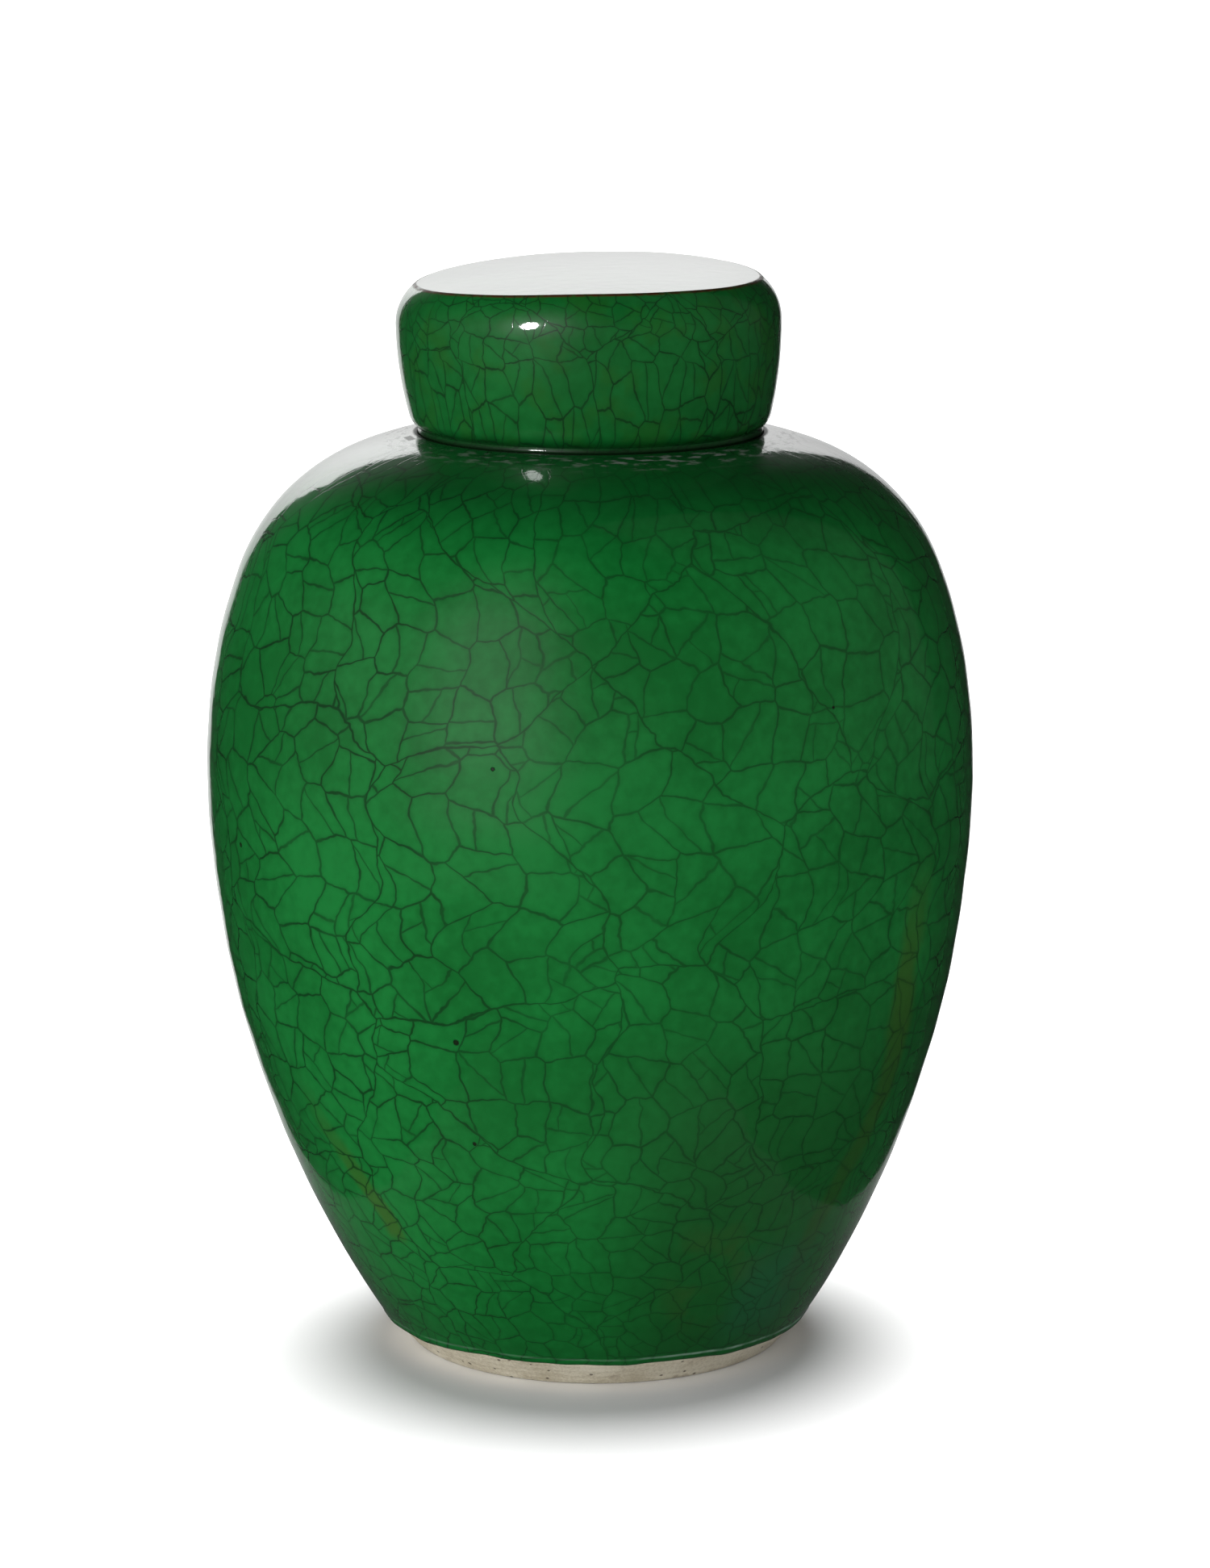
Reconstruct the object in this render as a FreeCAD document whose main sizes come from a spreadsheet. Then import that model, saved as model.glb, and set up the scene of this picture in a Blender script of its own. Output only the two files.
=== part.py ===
import FreeCAD, Part
import math
import os
import Sketcher

# A ginger jar and its cap-shaped cover, both thrown on the wheel, so every piece is a half section
# turned about Z. Each clay body is one piece, and each coat of glaze fused to it is another. The
# origin is on the table, at the centre of the foot. Sizes are in millimetres and degrees.

SIZES = {
    # jar, measured on the face of the green glaze
    "belly_radius": 71.8,
    "belly_height": 111.0,
    "lower_arc": 194.8,
    "belly_arc": 107.6,
    "shoulder_arc": 36.8,
    "collar_arc": 74.6,
    "shoulder_angle": 19.9,
    "collar_angle": 70.9,
    "jar_wall": 4.5,
    # coats of glaze
    "green_coat": 0.6,
    "pale_coat": 0.4,
    "foot_line": 4.8,
    "foot_roll": 1.4,
    "foot_roll_arc": 1.2,
    "seat_roll": 0.5,
    # foot and inside floor
    "foot_flat": 34.9,
    "foot_edge_arc": 1.0,
    "foot_slope": 47.0,
    "recess_radius": 30.0,
    "recess_height": 5.8,
    "recess_round": 2.0,
    "recess_edge": 0.5,
    "recess_coat_end": 2.2,
    "floor_height": 11.5,
    "floor_round": 16.0,
    # seat for the cover, and the neck inside it
    "seat_radius": 31.8,
    "neck_radius": 27.2,
    "neck_wall": 4.2,
    "neck_rise": 16.4,
    "neck_root": 1.0,
    "lip_round": 1.6,
    "lip_bare": 3.0,
    "throat_round": 2.5,
    "throat_step": 2.0,
    # cover, measured on the face of the green glaze
    "cover_radius": 35.55,
    "cover_widest": 194.4,
    "cover_wall_arc": 80.0,
    "cover_wall_angle": 13.0,
    "cover_heel_arc": 5.0,
    "cover_heel_angle": 52.0,
    "cover_crown_arc": 9.45,
    "cover_crown_angle": 52.5,
    "cover_height": 203.2,
    "cover_coat": 0.5,
    "cover_gap": 0.02,
    "cover_bore": 29.0,
    "cover_roof": 4.2,
    "cover_roof_round": 4.0,
    "cover_rim": 31.4,
    "cover_bead_rise": 0.8,
    "cover_bead_out": 0.3,
    "cover_bead_arc": 0.36,
    "cover_coat_start": 4.0,
}

doc = FreeCAD.newDocument("ginger_jar")


def make_sheet(sizes):
    """One row for each driving dimension: its name in column A, its value and alias in column B."""
    sheet = doc.addObject("Spreadsheet::Sheet", "sizes")
    for row, (name, value) in enumerate(sizes.items(), start=1):
        sheet.set(f"A{row}", name)
        sheet.set(f"B{row}", str(value))
        sheet.setAlias(f"B{row}", name)
    doc.recompute()
    return sheet


SHEET = make_sheet(SIZES)


# Places are pairs of expressions (radius from the axis, height), written in the names of the sheet.


def size(name):
    """The expression that reads one cell of the sheet."""
    return f"sizes.{name}"


def total(*terms):
    """The sum of some expressions; a leading minus in a term takes it away."""
    return "(" + " + ".join(f"({term})" for term in terms) + ")"


def polar(centre, radius, angle):
    """The place at a radius and an angle from a centre."""
    across = total(centre[0], f"{radius} * cos({angle})")
    up = total(centre[1], f"{radius} * sin({angle})")
    return across, up


def across_circle(centre, radius, height):
    """The outer crossing of a circle with a level."""
    return total(centre[0], f"sqrt({radius} ^ 2 - ({height} - {centre[1]}) ^ 2)"), height


def above_circle(centre, radius, across):
    """The upper crossing of a circle with a cylinder about the axis."""
    return across, total(centre[1], f"sqrt({radius} ^ 2 - ({across} - {centre[0]}) ^ 2)")


def number(expression):
    """The value of an expression with the sheet's present numbers."""
    return float(SHEET.evalExpression(expression))


# A path is a list of corners (radius, height, side). The side is how the path leaves that corner:
# None for a straight line, or ("left" or "right", arc radius) for an arc that turns that way.


def corner(place, side=None):
    return place[0], place[1], side


def backwards(path):
    """The same path walked the other way; the side of its last corner must be None."""
    turned = {"left": "right", "right": "left"}
    sides = [None if side is None else (turned[side[0]], side[1]) for _, _, side in path[:-1]]
    places = [(across, up) for across, up, _ in reversed(path)]
    return [corner(place, side) for place, side in zip(places, sides[::-1] + [None])]


def arc_between(start, end, turn, radius):
    """The short arc of a given radius from start to end, as sketch geometry that runs anticlockwise."""
    chord = end - start
    left = FreeCAD.Vector(-chord.y, chord.x, 0) / chord.Length
    depth = math.sqrt(radius ** 2 - (chord.Length / 2) ** 2)
    toward = 1 if turn == "left" else -1
    centre = (start + end) / 2 + left * depth * toward
    first, last = (start, end) if turn == "left" else (end, start)
    angles = [math.atan2(point.y - centre.y, point.x - centre.x) for point in (first, last)]
    circle = Part.Circle(centre, FreeCAD.Vector(0, 0, 1), radius)
    return Part.ArcOfCircle(circle, angles[0], angles[1])


def draw_outline(sketch, path):
    """Draw a closed path and tie every corner and arc radius to its expression."""
    points = [FreeCAD.Vector(number(across), number(up), 0) for across, up, _ in path]
    ends = []
    constraints = []
    bound = []
    for index, (across, up, side) in enumerate(path):
        start = points[index]
        end = points[(index + 1) % len(path)]
        if side is None:
            edge = sketch.addGeometry(Part.LineSegment(start, end))
            ends.append((edge, 1, 2))
        else:
            turn, radius = side
            edge = sketch.addGeometry(arc_between(start, end, turn, number(radius)))
            ends.append((edge, 1, 2) if turn == "left" else (edge, 2, 1))
            bound.append((Sketcher.Constraint("Radius", edge, number(radius)), radius))
        first = ends[-1][1]
        for kind, axis, measure in (("DistanceX", -2, across), ("DistanceY", -1, up)):
            if abs(number(measure)) < 1e-9:
                constraints.append(Sketcher.Constraint("PointOnObject", edge, first, axis))
            else:
                bound.append((Sketcher.Constraint(kind, -1, 1, edge, first, number(measure)), measure))
    for here, after in zip(ends, ends[1:] + ends[:1]):
        constraints.append(Sketcher.Constraint("Coincident", here[0], here[2], after[0], after[1]))
    sketch.addConstraint(constraints)
    for constraint, expression in bound:
        place = sketch.addConstraint(constraint)
        sketch.setExpression(f"Constraints[{place}]", expression)


def turned_piece(label, path):
    """A body whose half section is the path, turned once about Z."""
    body = doc.addObject("PartDesign::Body", label)
    body.Label = label
    sketch = body.newObject("Sketcher::SketchObject", f"{label}_section")
    planes = {feature.Role: feature for feature in body.Origin.OriginFeatures}
    sketch.AttachmentSupport = [(planes["XZ_Plane"], "")]
    sketch.MapMode = "FlatFace"
    doc.recompute()
    draw_outline(sketch, path)
    turn = body.newObject("PartDesign::Revolution", f"{label}_turn")
    turn.Profile = sketch
    turn.ReferenceAxis = (sketch, ["V_Axis"])
    turn.Angle = 360
    body.Tip = turn
    body.Placement = FreeCAD.Placement()
    return body


# Centres of the tangent arcs that the walls are made of.

LOWER_CENTRE = (total(size("belly_radius"), "-" + size("lower_arc")), size("belly_height"))
BELLY_CENTRE = (total(size("belly_radius"), "-" + size("belly_arc")), size("belly_height"))
SHOULDER_CENTRE = polar(
    BELLY_CENTRE, total(size("belly_arc"), "-" + size("shoulder_arc")), size("shoulder_angle")
)
COLLAR_CENTRE = polar(
    SHOULDER_CENTRE, total(size("shoulder_arc"), "-" + size("collar_arc")), size("collar_angle")
)
COVER_WALL_CENTRE = (
    total(size("cover_radius"), "-" + size("cover_wall_arc")), size("cover_widest")
)
COVER_HEEL_CENTRE = polar(
    COVER_WALL_CENTRE,
    total(size("cover_wall_arc"), "-" + size("cover_heel_arc")),
    "-" + size("cover_wall_angle"),
)
COVER_CROWN_CENTRE = (
    total(size("cover_radius"), "-" + size("cover_crown_arc")), size("cover_widest")
)

# Depths below the glazed outside of the jar.

BODY_FACE = size("green_coat")
INNER_FACE = total(size("green_coat"), size("jar_wall"))
INNER_GLAZE_FACE = total(INNER_FACE, size("pale_coat"))

SEAT_HEIGHT = above_circle(
    COLLAR_CENTRE, total(size("collar_arc"), "-" + BODY_FACE), size("seat_radius")
)[1]
LIP_HEIGHT = total(SEAT_HEIGHT, size("neck_rise"))
NECK_BORE = total(size("neck_radius"), "-" + size("neck_wall"))
PALE_BORE = total(NECK_BORE, "-" + size("pale_coat"))


def jar_outside(depth, start_height, end_radius):
    """Up the outside of the jar, at a depth below the green glaze, from the foot to the cover's seat."""
    lower = total(size("lower_arc"), "-" + depth)
    belly = total(size("belly_arc"), "-" + depth)
    shoulder = total(size("shoulder_arc"), "-" + depth)
    collar = total(size("collar_arc"), "-" + depth)
    return [
        corner(across_circle(LOWER_CENTRE, lower, start_height), ("left", lower)),
        corner(polar(LOWER_CENTRE, lower, "0"), ("left", belly)),
        corner(polar(BELLY_CENTRE, belly, size("shoulder_angle")), ("left", shoulder)),
        corner(polar(SHOULDER_CENTRE, shoulder, size("collar_angle")), ("left", collar)),
        corner(above_circle(COLLAR_CENTRE, collar, end_radius)),
    ]


def jar_inside(depth, throat_radius, top_height):
    """Down the inside of the jar, from the neck to the middle of the floor."""
    lower = total(size("lower_arc"), "-" + depth)
    belly = total(size("belly_arc"), "-" + depth)
    shoulder = total(size("shoulder_arc"), "-" + depth)
    collar = total(size("collar_arc"), "-" + depth)
    coat = total(depth, "-" + INNER_FACE)
    floor_arc = total(size("floor_round"), "-" + coat)
    floor_level = total(size("floor_height"), coat)
    floor_centre_height = total(size("floor_height"), size("floor_round"))
    floor_centre = across_circle(
        LOWER_CENTRE, total(lower, "-" + floor_arc), floor_centre_height
    )
    reach = f"{lower} / ({lower} - {floor_arc})"
    floor_start = tuple(
        total(middle, f"({place} - {middle}) * {reach}")
        for middle, place in zip(LOWER_CENTRE, floor_centre)
    )
    throat_end = above_circle(COLLAR_CENTRE, collar, total(NECK_BORE, size("throat_step")))
    throat_arc = total(size("throat_round"), coat)
    throat_start = (throat_radius, total(throat_end[1], size("throat_step")))
    return [
        corner((throat_radius, top_height)),
        corner(throat_start, ("left", throat_arc)),
        corner(throat_end, ("right", collar)),
        corner(polar(SHOULDER_CENTRE, shoulder, size("collar_angle")), ("right", shoulder)),
        corner(polar(BELLY_CENTRE, belly, size("shoulder_angle")), ("right", belly)),
        corner(polar(LOWER_CENTRE, lower, "0"), ("right", lower)),
        corner(floor_start, ("right", floor_arc)),
        corner((floor_centre[0], floor_level)),
        corner(("0", floor_level)),
    ]


def cover_outside(depth):
    """Up the outside of the cover, at a depth below its green glaze, from the heel to the middle."""
    heel = total(size("cover_heel_arc"), "-" + depth)
    wall = total(size("cover_wall_arc"), "-" + depth)
    crown = total(size("cover_crown_arc"), "-" + depth)
    arris = polar(COVER_CROWN_CENTRE, crown, size("cover_crown_angle"))
    top = ("0", total(size("cover_height"), "-" + depth))
    rise = total(top[1], "-" + arris[1])
    dome = f"({arris[0]} ^ 2 + {rise} ^ 2) / (2 * {rise})"
    return [
        corner(polar(COVER_HEEL_CENTRE, heel, "-" + size("cover_heel_angle")), ("left", heel)),
        corner(polar(COVER_HEEL_CENTRE, heel, "-" + size("cover_wall_angle")), ("left", wall)),
        corner((total(size("cover_radius"), "-" + depth), size("cover_widest")), ("left", crown)),
        corner(arris, ("left", dome)),
        corner(top),
    ]


RIM_HEIGHT = total(SEAT_HEIGHT, size("cover_gap"))
ROOF_HEIGHT = total(size("cover_height"), "-" + size("cover_coat"), "-" + size("cover_roof"))
BEAD_START = (
    total(size("cover_rim"), size("cover_bead_out")), total(SEAT_HEIGHT, size("cover_bead_rise"))
)


def jar_body():
    """The clay body: foot ring, wall, seat, neck and lip in one piece."""
    edge = size("foot_edge_arc")
    slope = size("foot_slope")
    band_foot = polar((size("foot_flat"), edge), edge, f"{slope} - 90")
    band_top = across_circle(
        LOWER_CENTRE, total(size("lower_arc"), "-" + BODY_FACE), size("foot_line")
    )
    recess = size("recess_radius")
    ceiling = size("recess_height")
    curve = size("recess_round")
    sharp = size("recess_edge")
    lip = size("lip_round")
    root = size("neck_root")
    foot = [
        corner(("0", ceiling)),
        corner((total(recess, "-" + curve), ceiling), ("right", curve)),
        corner((recess, total(ceiling, "-" + curve))),
        corner((recess, sharp), ("left", sharp)),
        corner((total(recess, sharp), "0")),
        corner((size("foot_flat"), "0"), ("left", edge)),
        corner(band_foot),
    ]
    outside = jar_outside(BODY_FACE, band_top[1], size("seat_radius"))
    neck = [
        corner((total(size("neck_radius"), root), SEAT_HEIGHT), ("right", root)),
        corner((size("neck_radius"), total(SEAT_HEIGHT, root))),
        corner((size("neck_radius"), total(LIP_HEIGHT, "-" + lip)), ("left", lip)),
        corner((total(size("neck_radius"), "-" + lip), LIP_HEIGHT)),
        corner((total(NECK_BORE, lip), LIP_HEIGHT), ("left", lip)),
    ]
    inside = jar_inside(INNER_FACE, NECK_BORE, total(LIP_HEIGHT, "-" + lip))
    return foot + outside + neck + inside


def jar_outer_glaze():
    """The green coat from its rolled lower edge above the foot to the cover's seat."""
    roll = total(size("foot_line"), size("foot_roll"))
    edge = total(size("seat_radius"), size("seat_roll"))
    outer = jar_outside("0", roll, edge)
    inner = backwards(jar_outside(BODY_FACE, size("foot_line"), size("seat_radius")))
    inner[-1] = corner(inner[-1], ("left", size("foot_roll_arc")))
    outer[-1] = corner(outer[-1], ("left", size("seat_roll")))
    return outer + inner


def jar_inner_glaze():
    """The pale coat over the whole inside, up to the bare lip."""
    top = total(LIP_HEIGHT, "-" + size("lip_bare"))
    clay_side = backwards(jar_inside(INNER_FACE, NECK_BORE, top))
    return clay_side + jar_inside(INNER_GLAZE_FACE, PALE_BORE, top)


def jar_base_glaze():
    """The pale coat on the ceiling and upper wall of the recess inside the foot ring."""
    recess = size("recess_radius")
    ceiling = size("recess_height")
    curve = size("recess_round")
    coat = size("pale_coat")
    end = size("recess_coat_end")
    face = total(ceiling, "-" + coat)
    return [
        corner(("0", face)),
        corner((total(recess, "-" + curve), face), ("right", total(curve, "-" + coat))),
        corner((total(recess, "-" + coat), total(ceiling, "-" + curve))),
        corner((total(recess, "-" + coat), end)),
        corner((recess, end)),
        corner((recess, total(ceiling, "-" + curve)), ("left", curve)),
        corner((total(recess, "-" + curve), ceiling)),
        corner(("0", ceiling)),
    ]


def cover_body():
    """The clay cap: a wall that leans in to a heel above its flat rim, and a flat roof."""
    bore = size("cover_bore")
    curve = size("cover_roof_round")
    rim = [
        corner((bore, RIM_HEIGHT)),
        corner((size("cover_rim"), RIM_HEIGHT)),
        corner(BEAD_START),
    ]
    roof = [
        corner(("0", ROOF_HEIGHT)),
        corner((total(bore, "-" + curve), ROOF_HEIGHT), ("right", curve)),
        corner((bore, total(ROOF_HEIGHT, "-" + curve))),
    ]
    return rim + cover_outside(size("cover_coat")) + roof


def cover_outer_glaze():
    """The green coat of the cover, with the bead where it ends above the rim."""
    bead = [corner(BEAD_START, ("left", size("cover_bead_arc")))]
    return bead + cover_outside("0") + backwards(cover_outside(size("cover_coat")))


def cover_inner_glaze():
    """The pale coat inside the cover, down to a bare band above the rim."""
    bore = size("cover_bore")
    curve = size("cover_roof_round")
    coat = size("pale_coat")
    start = total(RIM_HEIGHT, size("cover_coat_start"))
    face = total(ROOF_HEIGHT, "-" + coat)
    return [
        corner(("0", face)),
        corner((total(bore, "-" + curve), face), ("right", total(curve, "-" + coat))),
        corner((total(bore, "-" + coat), total(ROOF_HEIGHT, "-" + curve))),
        corner((total(bore, "-" + coat), start)),
        corner((bore, start)),
        corner((bore, total(ROOF_HEIGHT, "-" + curve)), ("left", curve)),
        corner((total(bore, "-" + curve), ROOF_HEIGHT)),
        corner(("0", ROOF_HEIGHT)),
    ]


PIECES = [
    jar_body,
    jar_outer_glaze,
    jar_inner_glaze,
    jar_base_glaze,
    cover_body,
    cover_outer_glaze,
    cover_inner_glaze,
]


def check(bodies):
    """Stop unless every object computed and every piece is one valid solid."""
    for item in doc.Objects:
        if "Invalid" in item.State or "Error" in item.State:
            raise RuntimeError(f"{item.Name} did not compute: {item.State}")
    for body in bodies:
        shape = body.Shape
        if shape.isNull() or not shape.isValid() or len(shape.Solids) != 1:
            raise RuntimeError(f"{body.Label} is not one valid solid")
        print(f"{body.Label}: {shape.Volume / 1000:.2f} cm3, box {shape.BoundBox}")


def main():
    bodies = [turned_piece(piece.__name__, piece()) for piece in PIECES]
    doc.recompute()
    check(bodies)
    os.makedirs("parts", exist_ok=True)
    for body in bodies:
        body.Shape.exportStep(f"parts/{body.Label}.step")


main()
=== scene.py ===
import math

import bpy
import numpy as np
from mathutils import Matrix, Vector


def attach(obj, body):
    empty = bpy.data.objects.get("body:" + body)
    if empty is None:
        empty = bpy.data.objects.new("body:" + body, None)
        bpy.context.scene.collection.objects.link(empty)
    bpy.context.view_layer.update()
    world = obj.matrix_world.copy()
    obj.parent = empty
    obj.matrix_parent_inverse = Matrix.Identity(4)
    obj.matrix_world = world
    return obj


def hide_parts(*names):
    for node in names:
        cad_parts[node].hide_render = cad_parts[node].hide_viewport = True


# The looks of the ginger jar. Every piece is a skin turned about Z from an outline of arcs, a little
# uneven as thrown pots are, with glazes and clay made of shader nodes. Outlines and the places of
# marks are in millimetres and degrees; azimuth 0 is the front (-Y) and grows towards +X.

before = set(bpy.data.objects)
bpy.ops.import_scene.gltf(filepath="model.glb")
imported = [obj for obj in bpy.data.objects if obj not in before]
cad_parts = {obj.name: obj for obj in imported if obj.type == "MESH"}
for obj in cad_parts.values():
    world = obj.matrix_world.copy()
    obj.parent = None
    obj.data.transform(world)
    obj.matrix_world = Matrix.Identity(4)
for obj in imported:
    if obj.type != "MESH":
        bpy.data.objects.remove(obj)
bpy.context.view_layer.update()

MM = 0.001

# Jar, on the face of its green glaze.
BELLY_RADIUS, BELLY_HEIGHT = 71.8, 111.0
LOWER_ARC, BELLY_ARC, SHOULDER_ARC, COLLAR_ARC = 194.8, 107.6, 36.8, 74.6
SHOULDER_ANGLE, COLLAR_ANGLE = 19.9, 70.9
GREEN_COAT, PALE_COAT, JAR_WALL = 0.6, 0.4, 4.5
FOOT_LINE, FOOT_ROLL = 4.8, 1.4
FOOT_FLAT, FOOT_EDGE, FOOT_SLOPE = 34.9, 1.0, 47.0
RECESS_RADIUS, RECESS_HEIGHT, RECESS_ROUND, RECESS_EDGE, RECESS_COAT_END = 30.0, 5.8, 2.0, 0.5, 2.2
FLOOR_HEIGHT, FLOOR_ROUND = 11.5, 16.0
SEAT_RADIUS, SEAT_ROLL = 31.8, 0.5
NECK_RADIUS, NECK_BORE, NECK_RISE, NECK_ROOT = 27.2, 23.0, 16.4, 1.0
LIP_ROUND, LIP_BARE = 1.6, 3.0
THROAT_STEP = 2.0

# Cover, on the face of its green glaze.
COVER_RADIUS, COVER_WIDEST, COVER_HEIGHT = 35.55, 194.4, 203.2
COVER_CROWN, COVER_WALL, COVER_HEEL = 9.45, 80.0, 5.0
CROWN_ANGLE, WALL_ANGLE, HEEL_ANGLE = 52.5, 13.0, 52.0
COVER_COAT, COVER_GAP, COVER_BORE, COVER_ROOF, ROOF_ROUND = 0.5, 0.02, 29.0, 4.2, 4.0
RIM_RADIUS, BEAD_RISE, BEAD_OUT, COVER_COAT_START = 31.4, 0.8, 0.3, 4.0

# How far the back of a glaze reaches into its clay, and how the thin edge of a pale coat bulges.
TUCK = 0.05
PALE_BULGE, PALE_EDGE_POINTS = 0.12, 6

# How far the thrown shapes stray from true.
LEAN, UPRIGHT = 1.2, 125.0
COVER_SHEAR = -0.025
COVER_TILT_SIDE, COVER_TILT_BACK = 0.024, 0.021
COVER_SIDE_SAG = 1.6
COVER_DOME_KEPT = 0.8

# Tops and floors inside this radius have their crazing charted flat.
DISC_LIMIT = 32.5


# ---------------------------------------------------------------- outlines


def polar(centre, radius, angle):
    turn = math.radians(angle)
    return centre[0] + radius * math.cos(turn), centre[1] + radius * math.sin(turn)


def arc(centre, radius, start, end, step):
    """Points on an arc, no further apart than step; both ends are included."""
    length = abs(math.radians(end - start)) * radius
    count = max(2, math.ceil(length / step) + 1)
    return [polar(centre, radius, angle) for angle in np.linspace(start, end, count)]


def line(start, end, step):
    """Points on a straight line, no further apart than step; both ends are included."""
    count = max(2, math.ceil(math.dist(start, end) / step) + 1)
    return [tuple(point) for point in np.linspace(start, end, count)]


def tangent_arcs(centre, radius, *turns):
    """An arc and those that run on from it smoothly; a turn is (angle of the joint, next radius)."""
    arcs = [(centre, radius)]
    for angle, after in turns:
        centre = polar(centre, radius - after, angle)
        radius = after
        arcs.append((centre, radius))
    return arcs


def along(arcs, angles, depth, step):
    """Points along tangent arcs, some depth inside their face, between the angles of their joints."""
    points = []
    for (centre, radius), start, end in zip(arcs, angles, angles[1:]):
        points += arc(centre, radius - depth, start, end, step)[:-1]
    return points + [polar(*deeper(arcs[-1], depth), angles[-1])]


def deeper(one_arc, depth):
    return one_arc[0], one_arc[1] - depth


def angle_at_height(one_arc, height):
    (_, middle), radius = one_arc
    return math.degrees(math.asin((height - middle) / radius))


def angle_at_radius(one_arc, across):
    (middle, _), radius = one_arc
    return math.degrees(math.acos((across - middle) / radius))


JAR_ARCS = tangent_arcs(
    (BELLY_RADIUS - LOWER_ARC, BELLY_HEIGHT), LOWER_ARC,
    (0, BELLY_ARC), (SHOULDER_ANGLE, SHOULDER_ARC), (COLLAR_ANGLE, COLLAR_ARC),
)
COVER_ARCS = tangent_arcs(
    (COVER_RADIUS - COVER_CROWN, COVER_WIDEST), COVER_CROWN, (0, COVER_WALL), (-WALL_ANGLE, COVER_HEEL)
)[::-1]


def jar_side(depth, bottom, end_radius, step):
    """Up the outside of the jar, from a height to the radius where it meets the seat."""
    start = angle_at_height(deeper(JAR_ARCS[0], depth), bottom)
    end = angle_at_radius(deeper(JAR_ARCS[-1], depth), end_radius)
    return along(JAR_ARCS, [start, 0, SHOULDER_ANGLE, COLLAR_ANGLE, end], depth, step)


SEAT_HEIGHT = jar_side(GREEN_COAT, FOOT_LINE, SEAT_RADIUS, 50)[-1][1]
LIP_HEIGHT = SEAT_HEIGHT + NECK_RISE
RIM_HEIGHT = SEAT_HEIGHT + COVER_GAP
ROOF_HEIGHT = COVER_HEIGHT - COVER_COAT - COVER_ROOF
BEAD_START = (RIM_RADIUS + BEAD_OUT, SEAT_HEIGHT + BEAD_RISE)


def jar_inside(depth, top, step):
    """Down the inside of the jar, from a height in the neck to the middle of the floor."""
    coat = depth - GREEN_COAT - JAR_WALL
    bore = NECK_BORE - coat
    collar = deeper(JAR_ARCS[-1], depth)
    throat_end = polar(*collar, angle_at_radius(collar, NECK_BORE + THROAT_STEP))
    throat_start = (bore, throat_end[1] + THROAT_STEP)
    round_arc = FLOOR_ROUND - coat
    level = FLOOR_HEIGHT + coat
    (lower_across, lower_up), lower = deeper(JAR_ARCS[0], depth)
    rise = level + round_arc - lower_up
    reach = math.sqrt((lower - round_arc) ** 2 - rise ** 2)
    corner = (lower_across + reach, level + round_arc)
    down = math.degrees(math.atan2(rise, reach))
    side = along(JAR_ARCS, [down, 0, SHOULDER_ANGLE, COLLAR_ANGLE,
                            angle_at_radius(collar, NECK_BORE + THROAT_STEP)], depth, step)
    floor = arc(corner, round_arc, down, -90, step)
    middle = line((corner[0], level), (0, level), step)
    return line((bore, top), throat_start, step) + side[::-1] + floor[1:] + middle[1:]


def cover_side(depth, step):
    """Up the outside of the cover, from its heel over the arris to the middle of the top."""
    angles = [-HEEL_ANGLE, -WALL_ANGLE, 0, CROWN_ANGLE]
    wall = along(COVER_ARCS, angles, depth, step)
    across, up = wall[-1]
    rise = COVER_HEIGHT - depth - up
    dome = (across ** 2 + rise ** 2) / (2 * rise)
    spread = math.degrees(math.asin(across / dome))
    centre = (0, COVER_HEIGHT - depth - dome)
    return wall + arc(centre, dome, 90 - spread, 90, step)[1:]


def rolled_edge(start, end, bulge, count):
    """A round lip of glaze from the clay out to the glaze's face; bulge is how far it hangs out."""
    start, end = np.array(start), np.array(end)
    chord = end - start
    out = np.array([chord[1], -chord[0]]) / np.linalg.norm(chord)
    shares = np.linspace(0, 1, count)
    return [tuple(start + chord * t + out * bulge * math.sin(math.pi * t)) for t in shares]


def green_glaze_of_jar():
    clay = jar_side(GREEN_COAT + TUCK, FOOT_LINE, SEAT_RADIUS, 8)
    face = jar_side(0, FOOT_LINE + FOOT_ROLL, SEAT_RADIUS + SEAT_ROLL, 0.95)
    seat = rolled_edge(face[-1], (SEAT_RADIUS, SEAT_HEIGHT), 0.18, 6)
    foot = rolled_edge(clay[0], face[0], 0.45, 12)
    return foot[:-1] + face[:-1] + seat + clay[::-1][1:-1]


def clay_of_jar():
    band = arc((FOOT_FLAT, FOOT_EDGE), FOOT_EDGE, -90, FOOT_SLOPE - 90, 0.15)
    outside = jar_side(GREEN_COAT, FOOT_LINE, SEAT_RADIUS, 4)
    lip = NECK_RADIUS - LIP_ROUND, LIP_HEIGHT - LIP_ROUND
    inner_lip = NECK_BORE + LIP_ROUND, LIP_HEIGHT - LIP_ROUND
    ceiling = RECESS_HEIGHT - RECESS_ROUND
    points = line((0, RECESS_HEIGHT), (RECESS_RADIUS - RECESS_ROUND, RECESS_HEIGHT), 3)
    points += arc((RECESS_RADIUS - RECESS_ROUND, ceiling), RECESS_ROUND, 90, 0, 0.5)[1:]
    points += arc((RECESS_RADIUS + RECESS_EDGE, RECESS_EDGE), RECESS_EDGE, 180, 270, 0.15)
    points += line(points[-1], (FOOT_FLAT, 0), 0.5)[1:]
    points += band[1:] + line(band[-1], outside[0], 0.5)[1:] + outside[1:]
    points += line(outside[-1], (NECK_RADIUS + NECK_ROOT, SEAT_HEIGHT), 0.5)[1:]
    points += arc((NECK_RADIUS + NECK_ROOT, SEAT_HEIGHT + NECK_ROOT), NECK_ROOT, 270, 180, 0.2)[1:]
    points += line(points[-1], (NECK_RADIUS, lip[1]), 1)[1:]
    points += arc(lip, LIP_ROUND, 0, 90, 0.25)[1:]
    points += arc(inner_lip, LIP_ROUND, 90, 180, 0.25)
    return points + jar_inside(GREEN_COAT + JAR_WALL, inner_lip[1], 4)[1:]


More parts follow.
